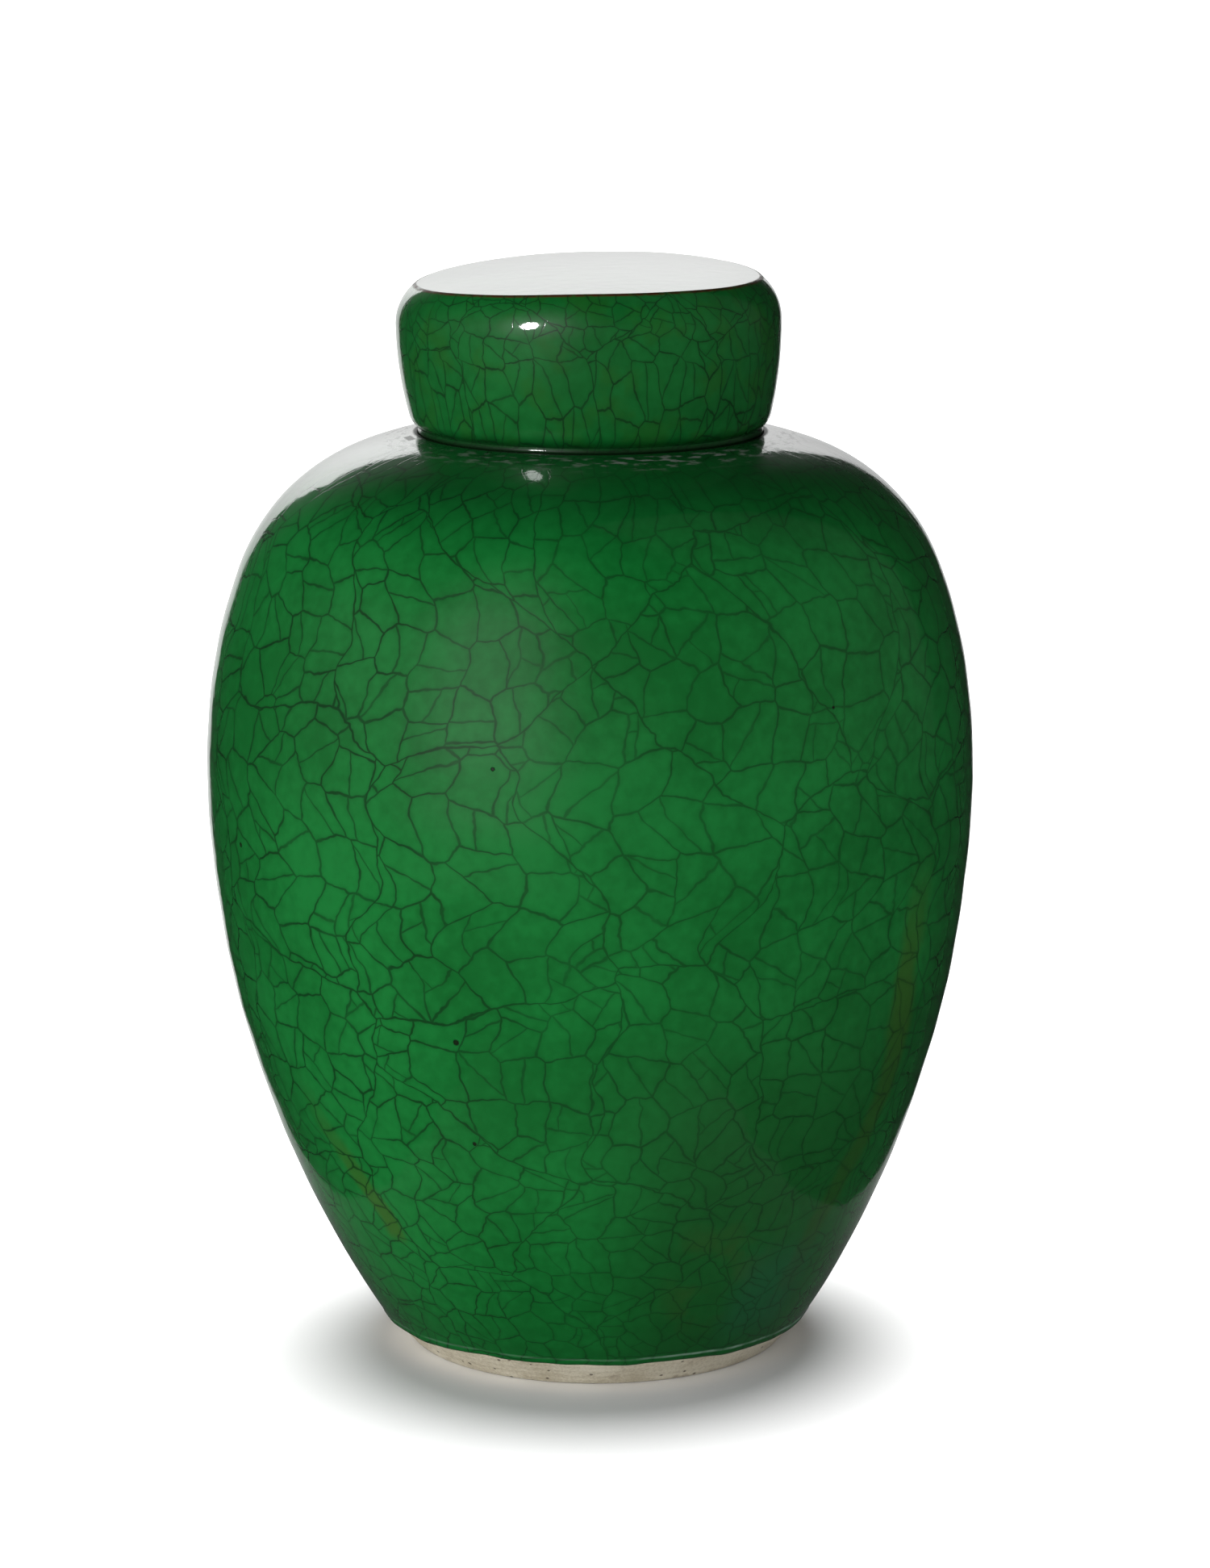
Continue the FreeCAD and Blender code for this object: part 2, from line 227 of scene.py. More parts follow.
def pale_glaze_of_jar():
    depth = GREEN_COAT + JAR_WALL
    top = LIP_HEIGHT - LIP_BARE
    clay = jar_inside(depth - TUCK, top, 4)
    face = jar_inside(depth + PALE_COAT, top, 1.6)
    edge = rolled_edge(clay[0], face[0], PALE_BULGE, PALE_EDGE_POINTS)
    return clay[::-1] + edge[1:-1] + face


def pale_glaze_of_foot():
    face_height = RECESS_HEIGHT - PALE_COAT
    corner = (RECESS_RADIUS - RECESS_ROUND, RECESS_HEIGHT - RECESS_ROUND)
    points = line((0, face_height), (corner[0], face_height), 0.8)
    points += arc(corner, RECESS_ROUND - PALE_COAT, 90, 0, 0.3)[1:]
    points += line(points[-1], (RECESS_RADIUS - PALE_COAT, RECESS_COAT_END + PALE_COAT), 0.5)[1:]
    end = (RECESS_RADIUS + TUCK, RECESS_COAT_END)
    points += rolled_edge(points[-1], end, PALE_BULGE, PALE_EDGE_POINTS)[1:]
    points += arc(corner, RECESS_ROUND + TUCK, 0, 90, 0.5)
    return points + [(0, RECESS_HEIGHT + TUCK)]


def green_glaze_of_cover():
    face = cover_side(0, 0.55)
    bead = rolled_edge((RIM_RADIUS + TUCK, RIM_HEIGHT + TUCK), face[0], 0.35, 12)
    clay = cover_side(COVER_COAT + TUCK, 4)
    return bead[:-1] + face + clay[::-1]


def clay_of_cover():
    corner = (COVER_BORE - ROOF_ROUND, ROOF_HEIGHT - ROOF_ROUND)
    points = line((0, ROOF_HEIGHT), (corner[0], ROOF_HEIGHT), 3)
    points += arc(corner, ROOF_ROUND, 90, 0, 0.8)[1:]
    points += line(points[-1], (COVER_BORE, RIM_HEIGHT), 2)[1:]
    points += line(points[-1], (RIM_RADIUS, RIM_HEIGHT), 0.4)[1:]
    points += line(points[-1], BEAD_START, 0.3)[1:]
    return points + cover_side(COVER_COAT, 3)


def pale_glaze_of_cover():
    face_height = ROOF_HEIGHT - PALE_COAT
    corner = (COVER_BORE - ROOF_ROUND, ROOF_HEIGHT - ROOF_ROUND)
    start = RIM_HEIGHT + COVER_COAT_START
    points = line((0, face_height), (corner[0], face_height), 0.8)
    points += arc(corner, ROOF_ROUND - PALE_COAT, 90, 0, 0.4)[1:]
    points += line(points[-1], (COVER_BORE - PALE_COAT, start + PALE_COAT), 0.8)[1:]
    end = (COVER_BORE + TUCK, start)
    points += rolled_edge(points[-1], end, PALE_BULGE, PALE_EDGE_POINTS)[1:]
    points += arc(corner, ROOF_ROUND + TUCK, 0, 90, 1)
    return points + [(0, ROOF_HEIGHT + TUCK)]


# ---------------------------------------------------------------- turned meshes


def wavy(azimuth, *waves):
    """A smooth ripple round the pot: the sum of waves (count round, size, phase in degrees)."""
    return sum(size * np.cos(np.radians(count * azimuth + phase)) for count, size, phase in waves)


def thrown_jar(radius, azimuth, height):
    """The jar's walls as they came off the wheel: a little oval, ringed, and leaning at the foot."""
    wall = np.clip((height - 8) / 30, 0, 1) * np.clip((radius - 34) / 20, 0, 1)
    rings = 0.03 * np.sin(height / 1.9 + np.radians(azimuth)) + 0.05 * np.sin(height / 5.3 + 1)
    oval = wavy(azimuth, (2, 0.07, 40), (3, 0.05, 110)) - 0.2
    radius = radius + wall * (oval + rings)
    x = radius * np.sin(np.radians(azimuth))
    y = -radius * np.cos(np.radians(azimuth))
    return x + LEAN * ((height - UPRIGHT) / UPRIGHT) ** 2, y, height


def glazed_jar(radius, azimuth, height):
    """The jar's green coat, whose lower edge ran a little further down in places."""
    near_foot = np.clip(1 - (height - FOOT_LINE) / 9, 0, 1) ** 2
    run = wavy(azimuth, (3, 0.22, 20), (7, 0.13, 200), (13, 0.1, 75), (24, 0.05, 10), (41, 0.03, 160))
    return thrown_jar(radius, azimuth, height + near_foot * (run + 0.1))


def thrown_cover(radius, azimuth, height):
    """The cover: its wall shears sideways, and its top tilts and sags towards both sides."""
    share = (height - RIM_HEIGHT) / (COVER_HEIGHT - RIM_HEIGHT)
    arris_height = polar(*COVER_ARCS[-1], CROWN_ANGLE)[1]
    dome = np.clip(height - arris_height, 0, None) * (1 - COVER_DOME_KEPT)
    x = radius * np.sin(np.radians(azimuth))
    y = -radius * np.cos(np.radians(azimuth))
    tilt = COVER_TILT_SIDE * x + COVER_TILT_BACK * y
    waves = wavy(azimuth, (2, 0.06, 80), (5, 0.04, 10), (9, 0.02, 50)) * np.clip(radius / 30, 0, 1)
    sag = COVER_SIDE_SAG * (x / COVER_RADIUS) ** 2
    lean = LEAN * ((height - UPRIGHT) / UPRIGHT) ** 2 + COVER_SHEAR * (height - RIM_HEIGHT)
    return x + lean, y, height - dome + share * (tilt + waves - sag - 0.1)


def chart_of(outline):
    """For each stretch of an outline, whether its crazing is charted flat, and how far up it lies."""
    places = np.array(outline)
    after = np.roll(places, -1, axis=0)
    steps = after - places
    widest = np.maximum(places[:, 0], after[:, 0])
    flat = (np.abs(steps[:, 1]) < 0.4 * np.abs(steps[:, 0])) & (widest < DISC_LIMIT)
    even = (places[:, 1] < BELLY_HEIGHT) | (places[:, 1] > LIP_HEIGHT)
    squeeze = np.where(even, BELLY_RADIUS / np.maximum(widest, 20), 1)
    flow = np.concatenate([[0], np.cumsum(np.hypot(*steps.T) * squeeze)])
    return flat, flow


def turned(name, outline, warp, columns):
    """A closed skin turned about Z from an outline that runs anticlockwise in (radius, height).

    The crazing chart is in millimetres: round the wall and up it, or flat across tops and floors.
    """
    azimuths = np.linspace(-180, 180, columns + 1)
    flat, flow = chart_of(outline)
    points = []
    true_places = []
    rings = []
    for radius, height in outline:
        around = azimuths[:-1] if radius > 1e-6 else azimuths[:1]
        same = np.ones_like(around)
        rings.append(range(len(points), len(points) + len(around)))
        points += list(zip(*warp(radius * same, around, height * same)))
        true_places += [(radius, height, 0)] * len(around)
    faces = []
    chart = []
    for row, low in enumerate(rings):
        after = (row + 1) % len(rings)
        high = rings[after]
        if len(low) == len(high) == 1:
            continue
        for column in range(columns):
            corners = ((row, low, column), (row, low, column + 1),
                       (after, high, column + 1), (after, high, column))
            face = []
            for place, ring, turn in corners:
                vertex = ring[turn % len(ring)]
                if vertex in face:
                    continue
                face.append(vertex)
                round_angle = math.radians(azimuths[turn])
                radius = outline[place][0]
                if flat[row]:
                    chart.append((radius * math.sin(round_angle), radius * math.cos(round_angle), 0))
                else:
                    chart.append((BELLY_RADIUS * round_angle, flow[row + (place == after)], 0))
            faces.append(face)
    mesh = bpy.data.meshes.new(name)
    mesh.from_pydata([tuple(MM * v for v in point) for point in points], [], faces)
    mesh.attributes.new("true_place", "FLOAT_VECTOR", "POINT")
    mesh.attributes["true_place"].data.foreach_set("vector", np.array(true_places, float).ravel())
    mesh.attributes.new("crazing_chart", "FLOAT_VECTOR", "CORNER")
    mesh.attributes["crazing_chart"].data.foreach_set("vector", np.array(chart, float).ravel())
    mesh.shade_smooth()
    mesh.set_sharp_from_angle(angle=math.radians(50))
    piece = bpy.data.objects.new(name, mesh)
    bpy.context.scene.collection.objects.link(piece)
    return piece


# ---------------------------------------------------------------- shader nodes


class Shader:
    """One material's nodes. Every method adds a node and returns the socket with its result."""

    def __init__(self, tree):
        self.tree = tree
        self.tree.nodes.clear()

    def node(self, kind, inputs, output=0, **settings):
        node = self.tree.nodes.new("ShaderNode" + kind)
        for name, value in settings.items():
            setattr(node, name, value)
        for name, value in inputs.items():
            if isinstance(value, bpy.types.NodeSocket):
                self.tree.links.new(value, node.inputs[name])
            else:
                node.inputs[name].default_value = value
        return node.outputs[output]

    def math(self, operation, *values):
        return self.node("Math", dict(enumerate(values)), operation=operation)

    def vector(self, operation, *values):
        return self.node("VectorMath", dict(enumerate(values)), operation=operation)

    def add(self, *values):
        total = values[0]
        for value in values[1:]:
            total = self.math("ADD", total, value)
        return total

    def times(self, *values):
        product = values[0]
        for value in values[1:]:
            product = self.math("MULTIPLY", product, value)
        return product

    def most(self, *values):
        top = values[0]
        for value in values[1:]:
            top = self.math("MAXIMUM", top, value)
        return top

    def away(self, value, middle):
        """How far a value lies from a middle, either side."""
        return self.math("ABSOLUTE", self.math("SUBTRACT", value, middle))

    def ramp(self, value, low, high, at_low=0.0, at_high=1.0):
        """A smooth step from one value to another."""
        inputs = {"Value": value, "From Min": low, "From Max": high,
                  "To Min": at_low, "To Max": at_high}
        return self.node("MapRange", inputs, interpolation_type="SMOOTHSTEP")

    def mix(self, factor, first, second):
        """A colour between two colours."""
        inputs = {0: factor, 6: first, 7: second}
        return self.node("Mix", inputs, output=2, data_type="RGBA")

    def noise(self, place, scale, detail=2.0, output=0):
        inputs = {"Vector": place, "Scale": scale, "Detail": detail}
        return self.node("TexNoise", inputs, output=output)

    def voronoi(self, place, cell, feature, output, dimensions="2D"):
        inputs = {"Vector": place, "Scale": 1 / cell, "Randomness": 0.75}
        return self.node("TexVoronoi", inputs, output=output, feature=feature,
                         voronoi_dimensions=dimensions)

    def cell_edge(self, place, cell):
        """How far a place is from the edge of its cell, in millimetres."""
        return self.times(self.voronoi(place, cell, "DISTANCE_TO_EDGE", "Distance"), cell)

    def crack(self, distance, reach):
        """A dark line where the distance is less than its reach, with a faint stain beside it."""
        core = self.ramp(distance, self.times(reach, 0.3), self.times(reach, 1.3), 1, 0)
        stain = self.ramp(distance, 0, self.times(reach, 4), 0.2, 0)
        return self.most(core, stain)

    def push(self, place, size, reach):
        """How far smooth noise of some size pushes a place aside, at most half of reach each way."""
        drift = self.vector("SUBTRACT", self.noise(place, 1 / size, 1, output="Color"), (0.5,) * 3)
        return self.vector("MULTIPLY", drift, (reach, reach, 0))

    def dot(self, first, second):
        return self.node("VectorMath", {0: first, 1: second}, output="Value", operation="DOT_PRODUCT")

    def attribute(self, name):
        return self.node("Attribute", {}, output="Vector", attribute_name=name)

    def parts(self, vector):
        """The three numbers of a vector."""
        node = self.tree.nodes.new("ShaderNodeSeparateXYZ")
        self.tree.links.new(vector, node.inputs[0])
        return node.outputs

    def position(self):
        """The place on the object, in millimetres, in the frame of its own body."""
        place = self.node("TexCoord", {}, output="Object")
        return self.vector("MULTIPLY", place, (1 / MM,) * 3)

    def finish(self, shader, kind="Material"):
        output = self.tree.nodes.new("ShaderNodeOutput" + kind)
        self.tree.links.new(shader, output.inputs["Surface"])


def new_material(name):
    material = bpy.data.materials.new(name)
    material.use_nodes = True
    return material, Shader(material.node_tree)


# ---------------------------------------------------------------- materials


def grey(value):
    return value, value, value, 1.0


def crazing(s, chart, long_cell, cell, half_width):
    """The net of cracks in a glaze: the darkness of its lines, from 0 to 1.

    A few long cracks come first. The net starts afresh inside every patch they bound, so its lines
    end on them. Most of its cells are split again by a late crack through the middle, and some
    halves once more.
    """
    place = s.vector("ADD", s.vector("ADD", chart, s.push(chart, 24, 5)), s.push(chart, 2.6, 1.3))
    reach = s.times(s.ramp(s.noise(chart, 1 / 9, 1), 0.3, 0.7, 0.7, 1.2), half_width)
    swayed = s.vector("ADD", place, s.push(chart, 19, 8))
    long_lines = s.crack(s.cell_edge(swayed, long_cell), s.times(reach, 0.85))
    bounded = s.voronoi(swayed, long_cell, "F1", "Color")
    place = s.vector("ADD", place, s.vector("MULTIPLY", bounded, (370, 290, 0)))
    lines = s.crack(s.cell_edge(place, cell), reach)

    middle = s.voronoi(place, cell, "F1", "Position")
    chance, turn_x, turn_y = s.parts(s.voronoi(place, cell, "F1", "Color"))
    along_split = s.vector("NORMALIZE", s.node("CombineXYZ", {
        "X": s.math("SUBTRACT", turn_x, 0.5), "Y": s.math("SUBTRACT", turn_y, 0.5)}))
    across_split = s.vector("CROSS_PRODUCT", along_split, (0, 0, 1))
    offset = s.vector("SUBTRACT", place, middle)
    aside = s.dot(offset, across_split)
    ahead = s.dot(offset, along_split)
    split = s.times(s.crack(s.math("ABSOLUTE", aside), reach), s.math("LESS_THAN", chance, 0.66))
    one_half = s.times(s.math("GREATER_THAN", aside, 0), s.math("LESS_THAN", chance, 0.2))
    late = s.times(s.crack(s.math("ABSOLUTE", ahead), s.times(reach, 0.8)), one_half)
    fade = s.ramp(s.noise(chart, 1 / 13, 2), 0.35, 0.6, 0.75, 1)
    return s.most(long_lines, s.times(s.most(lines, s.times(s.most(split, late), 0.85)), fade))


def closed_chart(s, chart):
    """The chart with its seam at the back bent into one long crack, and how near that crack is."""
    across, up, _ = s.parts(chart)
    half_turn = math.pi * BELLY_RADIUS
    wander = s.times(s.math("SUBTRACT", s.noise(s.node("CombineXYZ", {"Y": up}), 1 / 30, 2), 0.5), 26)
    turned_across = s.math("WRAP", s.add(across, wander), half_turn, -half_turn)
    seam = s.ramp(s.away(s.math("ABSOLUTE", turned_across), half_turn), 0.06, 0.22, 0.8, 0)
    return s.node("CombineXYZ", {"X": turned_across, "Y": up}), seam


def patch(s, across, up, sideways, upright):
    """A soft-edged patch of two measures; each is (middle, where it starts to fade, where it ends)."""
    shares = []
    for value, (middle, near, far) in ((across, sideways), (up, upright)):
        shares.append(s.ramp(s.away(value, middle), near, far, 1, 0))
    return s.times(*shares)


def spot(s, azimuth, height, at_azimuth, at_height, size, soft=1.6):
    """A round mark on the wall, 1 inside and fading to 0 outside its size."""
    millimetres_round = math.radians(1) * BELLY_RADIUS * 0.93
    across = s.times(s.math("SUBTRACT", azimuth, at_azimuth), millimetres_round)
    up = s.math("SUBTRACT", height, at_height)
    distance = s.math("SQRT", s.add(s.times(across, across), s.times(up, up)))
    return s.ramp(distance, size, size * soft, 1, 0)


JAR_PITS = (  # azimuth, height, size of the pinholes fired into the jar
    (-20.4, 72.4, 0.4), (-19.2, 52.6, 0.28), (-13.7, 122.8, 0.25), (-62.4, 101.5, 0.3),
    (38, 131, 0.2), (112, 88, 0.4), (151, 128, 0.25), (-128, 64, 0.35), (-160, 112, 0.3),
)


def green_glaze(name, scale, on_cover):
    """Emerald glaze: crazed, mottled and pitted; darker on the shoulder and at the cover's foot, partly
    pooled glaze and partly painted shade.
    """
    material, s = new_material(name)
    chart, seam = closed_chart(s, s.attribute("crazing_chart"))
    lines = s.most(crazing(s, chart, 38 * scale, 8.6 * scale, 0.28 * scale), seam)
    x, y, height = s.parts(s.position())
    azimuth = s.math("DEGREES", s.math("ARCTAN2", x, s.times(y, -1)))
    radius, true_height, _ = s.parts(s.attribute("true_place"))

    cloud = s.noise(s.position(), 1 / 28, 2)
    mottle = s.noise(s.position(), 1 / 2.4, 3)
    light = s.add(s.times(cloud, 0.6), s.times(mottle, 0.4))
    colour = s.mix(s.ramp(light, 0.32, 0.68), (0.0018, 0.110, 0.016, 1), (0.0050, 0.160, 0.027, 1))
    if on_cover:
        # Painted shade: the whole cover's green is made darker than the jar's, for the lower light its
        # wall gets.
        colour = s.mix(0.3, colour, (0.0015, 0.040, 0.006, 1))
        olive = s.ramp(s.noise(s.position(), 1 / 7, 3), 0.46, 0.66, 0, 0.4)
        colour = s.mix(olive, colour, (0.012, 0.085, 0.006, 1))
        # Darker towards the cover's foot: partly glaze pooled above the bead, partly painted shade for
        # the dark shoulder that this inward-curving wall mirrors.
        colour = s.mix(s.ramp(true_height, 176.5, 173.0, 0, 0.8), colour, (0.001, 0.030, 0.005, 1))
        brown = s.ramp(s.away(radius, 31.9), 0.15, 0.55, 1, 0)
        top_edge = s.times(brown, s.ramp(true_height, 200.5, 201.3))
        ragged = s.ramp(s.noise(s.position(), 1 / 1.6, 3), 0.3, 0.55, 0.35, 1)
        colour = s.mix(s.times(top_edge, ragged), colour, (0.055, 0.017, 0.006, 1))
    else:
        colour = green_runs(s, colour, azimuth, height)
        # Darker on the shoulder round the neck: partly glaze pooled there, partly painted shade from
        # the cover above it.
        pooled_and_shaded = s.times(s.ramp(radius, 64, 44, 0, 0.7), s.ramp(true_height, 140, 165))
        colour = s.mix(pooled_and_shaded, colour, (0.001, 0.042, 0.007, 1))
    crack = s.mix(s.noise(s.position(), 1 / 9, 1), (0.001, 0.026, 0.007, 1), (0.003, 0.022, 0.004, 1))
    # The jar's cracks are faintest at the front right.
    darkness = 0.85 if on_cover else s.ramp(s.away(azimuth, 25), 25, 55, 0.6, 0.85)
    colour = s.mix(s.times(lines, darkness), colour, crack)
    if not on_cover:
        # Painted reflection: a pale line along the coat's rolled edge over the foot.
        colour = foot_reflection_line(s, colour, azimuth, true_height)
    pits = 0.0
    if not on_cover:
        for at_azimuth, at_height, size in JAR_PITS:
            pits = s.math("MAXIMUM", pits, spot(s, azimuth, height, at_azimuth, at_height, size))
        colour = s.mix(s.times(pits, 0.92), colour, (0.006, 0.005, 0.003, 1))

    peel = s.noise(s.position(), 1 / 3.5, 2)
    grit = s.noise(s.position(), 1 / 0.35, 1)
    relief = s.add(
        s.times(peel, 0.04), s.times(grit, 0.003), s.times(lines, -0.006), s.times(pits, -0.3)
    )
    bump = s.node("Bump", {"Height": relief, "Strength": 1.0, "Distance": MM}, output="Normal")
    gloss = s.ramp(s.noise(s.position(), 1 / 5, 3), 0.35, 0.75, 0.05, 0.09)
    # Painted shade in the gap between cover and jar: the cover's lowest band and the jar's shoulder by
    # the rim are darkened and lose their coat.
    if on_cover:
        bare = s.times(top_edge, ragged, 0.9)
        gap_shade = s.ramp(true_height, RIM_HEIGHT + 1.4, RIM_HEIGHT + 0.4)
    else:
        bare = seat_scuffs(s, radius, true_height, azimuth)
        colour = s.mix(bare, colour, grey(0.3))
        by_the_rim = s.ramp(radius, SEAT_RADIUS + 1.3, SEAT_RADIUS + 0.7)
        gap_shade = s.times(by_the_rim, s.ramp(true_height, 165, 168))
    colour = s.mix(s.times(gap_shade, 0.9), colour, (0.003, 0.010, 0.003, 1))
    shader = s.node("BsdfPrincipled", {
        "Base Color": colour,
        "Roughness": 0.42,
        "Specular IOR Level": 0.1,
        "Coat Weight": s.math("SUBTRACT", 1, s.most(bare, s.times(gap_shade, 0.95))),
        "Coat Roughness": gloss,
        "Coat IOR": 1.5,
        "Normal": bump,
        "Coat Normal": bump,
    })
    s.finish(shader)
    return material


def green_runs(s, colour, azimuth, height):
    """Two olive runs down the sides, and a darker, a brown and a teal cloud low on the right; the teal
    one is a painted reflection of the table.
    """
    olive = (0.036, 0.105, 0.009, 1)
    for foot, drift, middle, low, high, width in (
        (47.5, 9.5, 40, 17, 105, 2.9),
        (-41.0, -14.0, 40, 29, 62, 2.4),
    ):
        path = s.add(s.ramp(height, low, middle + 20, 0, drift), foot)
        wander = s.times(s.math("SUBTRACT", s.noise(s.position(), 1 / 14, 2), 0.5), 5)
        aside = s.away(s.add(azimuth, wander), path)
        inside = s.ramp(aside, width * 0.5, width * 1.5, 1, 0)
        inside = s.times(inside, s.ramp(height, low - 1, low + 2))
        inside = s.times(inside, s.ramp(height, high - 30, high, 1, 0))
        colour = s.mix(s.times(inside, 0.75), colour, olive)
    cloud = s.ramp(s.noise(s.position(), 1 / 10, 3), 0.42, 0.62)
    # A darker patch low on the right of the front.
    darker_low_right = patch(s, azimuth, height, (34, 12, 44), (34, 16, 60))
    colour = s.mix(s.times(darker_low_right, 0.7), colour, (0.0045, 0.062, 0.010, 1))
    brown = s.times(patch(s, azimuth, height, (27, 4, 16), (24, 5, 16)), cloud)
    colour = s.mix(s.times(brown, 0.3), colour, (0.035, 0.065, 0.010, 1))
    # Painted reflection: a teal tint low on the right, where the glaze would mirror the table.
    painted_teal_reflection = patch(s, azimuth, height, (42, 5, 14), (18, 4, 14))
    return s.mix(s.times(painted_teal_reflection, 0.3), colour, (0.012, 0.110, 0.060, 1))


def foot_reflection_line(s, colour, azimuth, height):
    """A pale line painted along the coat's rolled edge over the foot, stronger on the right: a painted
    reflection of the table in front.
    """
    ragged = s.ramp(s.noise(s.position(), 1 / 4, 3), 0.35, 0.6, 0.25, 1)
    side = s.ramp(azimuth, -10, 38, 0.12, 0.5)
    edge = s.ramp(s.away(height, FOOT_LINE + FOOT_ROLL + 0.1), 0.05, 0.4, 1, 0)
    return s.mix(s.times(edge, ragged, side), colour, (0.42, 0.60, 0.50, 1))


def seat_scuffs(s, radius, height, azimuth):
    """Pale wear where the cover's rim has rubbed and chipped the glaze on the shoulder."""
    band = s.times(s.ramp(radius, 41.5, 37), s.ramp(radius, 33.2, 35), s.ramp(height, 164, 167))
    side = s.ramp(s.away(azimuth, 30), 12, 40, 1, 0.45)
    round_place = s.node("CombineXYZ", {"X": s.times(azimuth, 0.25), "Y": radius})
    flecks = s.ramp(s.noise(round_place, 1 / 1.3, 4), 0.51, 0.64)
    chip = patch(s, azimuth, radius, (-76, 3, 5), (34.2, 0.5, 0.9))
    return s.most(s.times(band, side, flecks, 0.6), s.times(chip, s.ramp(height, 166, 169), 0.8))


def pale_glaze(name, scale):
    """The thin off-white glaze inside, with a stained net of crazing."""
    material, s = new_material(name)
    chart, seam = closed_chart(s, s.attribute("crazing_chart"))
    lines = crazing(s, chart, 40 * scale, 12 * scale, 0.2 * scale)
    cloud = s.noise(s.position(), 1 / 18, 3)
    colour = s.mix(s.ramp(cloud, 0.3, 0.7), (0.50, 0.47, 0.36, 1), (0.62, 0.60, 0.50, 1))
    colour = s.mix(s.times(s.most(lines, seam), 0.75), colour, (0.16, 0.115, 0.06, 1))
    specks = s.ramp(s.voronoi(s.position(), 2.6, "F1", "Distance", "3D"), 0.05, 0.1, 0.7, 0)
    colour = s.mix(specks, colour, (0.09, 0.055, 0.03, 1))
    relief = s.add(s.times(s.noise(s.position(), 1 / 3, 2), 0.06), s.times(lines, -0.012))
    bump = s.node("Bump", {"Height": relief, "Strength": 1.0, "Distance": MM}, output="Normal")
    shader = s.node("BsdfPrincipled", {
        "Base Color": colour,
        "Roughness": s.ramp(cloud, 0.3, 0.7, 0.1, 0.2),
        "Normal": bump,
    })
    s.finish(shader)
    return material


def biscuit(name):
    """Bare fired clay: cream, dusty, pricked with iron pits and lightly ringed by the turning tool."""
    material, s = new_material(name)
    place = s.position()
    cloud = s.noise(place, 1 / 12, 3)
    grain = s.noise(place, 1 / 0.5, 3)
    colour = s.mix(s.ramp(s.add(s.times(cloud, 0.6), s.times(grain, 0.4)), 0.32, 0.68),
                   (0.56, 0.49, 0.35, 1), (0.84, 0.78, 0.62, 1))
    pit_size = s.voronoi(place, 3.2, "F1", "Distance", "3D")
    pits = s.ramp(pit_size, 0.06, 0.13, 1, 0)
    colour = s.mix(s.times(pits, 0.8), colour, (0.085, 0.05, 0.03, 1))
    stain = s.ramp(s.noise(place, 1 / 5, 2), 0.6, 0.72, 0, 0.45)
    colour = s.mix(stain, colour, (0.25, 0.17, 0.09, 1))
    radius, height, _ = s.parts(s.attribute("true_place"))
    # Painted shade: the clay at the cover's rim and the jar's seat is darkened for the gap between
    # them.
    seat = s.times(s.ramp(s.away(radius, RIM_RADIUS), 0.8, 1.6, 1, 0),
                   s.ramp(s.away(height, SEAT_HEIGHT), 1.0, 2.0, 1, 0))
    colour = s.mix(s.times(seat, 0.9), colour, (0.03, 0.03, 0.015, 1))
    rings = s.math("SINE", s.add(s.times(height, 5), s.times(cloud, 6)))
    relief = s.add(s.times(grain, 0.08), s.times(rings, 0.02), s.times(pits, -0.25))
    bump = s.node("Bump", {"Height": relief, "Strength": 0.8, "Distance": MM}, output="Normal")
    shader = s.node("BsdfPrincipled", {"Base Color": colour, "Roughness": 0.85, "Normal": bump})
    s.finish(shader)
    return material


# ---------------------------------------------------------------- pieces

COVER_CELLS = 0.55  # the cover's cells against the jar's
COVER_SCALE = COVER_CELLS * BELLY_RADIUS / COVER_RADIUS

CLAY = biscuit("biscuit_clay")
GREEN = green_glaze("green_crackle_glaze", 1.0, on_cover=False)
COVER_GREEN = green_glaze("green_crackle_glaze_of_cover", COVER_SCALE, on_cover=True)
PALE = pale_glaze("pale_crackle_glaze", 1.0)
PALE_SMALL = pale_glaze("pale_crackle_glaze_of_cover", 1.3)

PIECES = (  # name, outline, warp, columns, material, CAD node, body, slot
    ("jar_clay", clay_of_jar, thrown_jar, 256, CLAY,
     "jar_body", "jar", "biscuit"),
    ("jar_green_coat", green_glaze_of_jar, glazed_jar, 320, GREEN,
     "jar_outer_glaze", "jar", "green_glaze"),
    ("jar_pale_lining", pale_glaze_of_jar, thrown_jar, 192, PALE,
     "jar_inner_glaze", "jar", "pale_glaze"),
    ("jar_foot_coat", pale_glaze_of_foot, thrown_jar, 256, PALE,
     "jar_base_glaze", "jar", "pale_glaze"),
    ("cover_clay", clay_of_cover, thrown_cover, 256, CLAY,
     "cover_body", "cover", "biscuit"),
    ("cover_green_coat", green_glaze_of_cover, thrown_cover, 288, COVER_GREEN,
     "cover_outer_glaze", "cover", "green_glaze"),
    ("cover_pale_lining", pale_glaze_of_cover, thrown_cover, 192, PALE_SMALL,
     "cover_inner_glaze", "cover", "pale_glaze"),
)


def make_pieces():
    for name, outline, warp, columns, material, node, body, slot in PIECES:
        piece = turned(name, outline(), warp, columns)
        piece.data.materials.append(material)
        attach(piece, body)
        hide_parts(node)


# ---------------------------------------------------------------- studio


def flat_mesh(name, corners):
    mesh = bpy.data.meshes.new(name)
    mesh.from_pydata(corners, [], [range(len(corners))])
    thing = bpy.data.objects.new(name, mesh)
    bpy.context.scene.collection.objects.link(thing)
    return thing


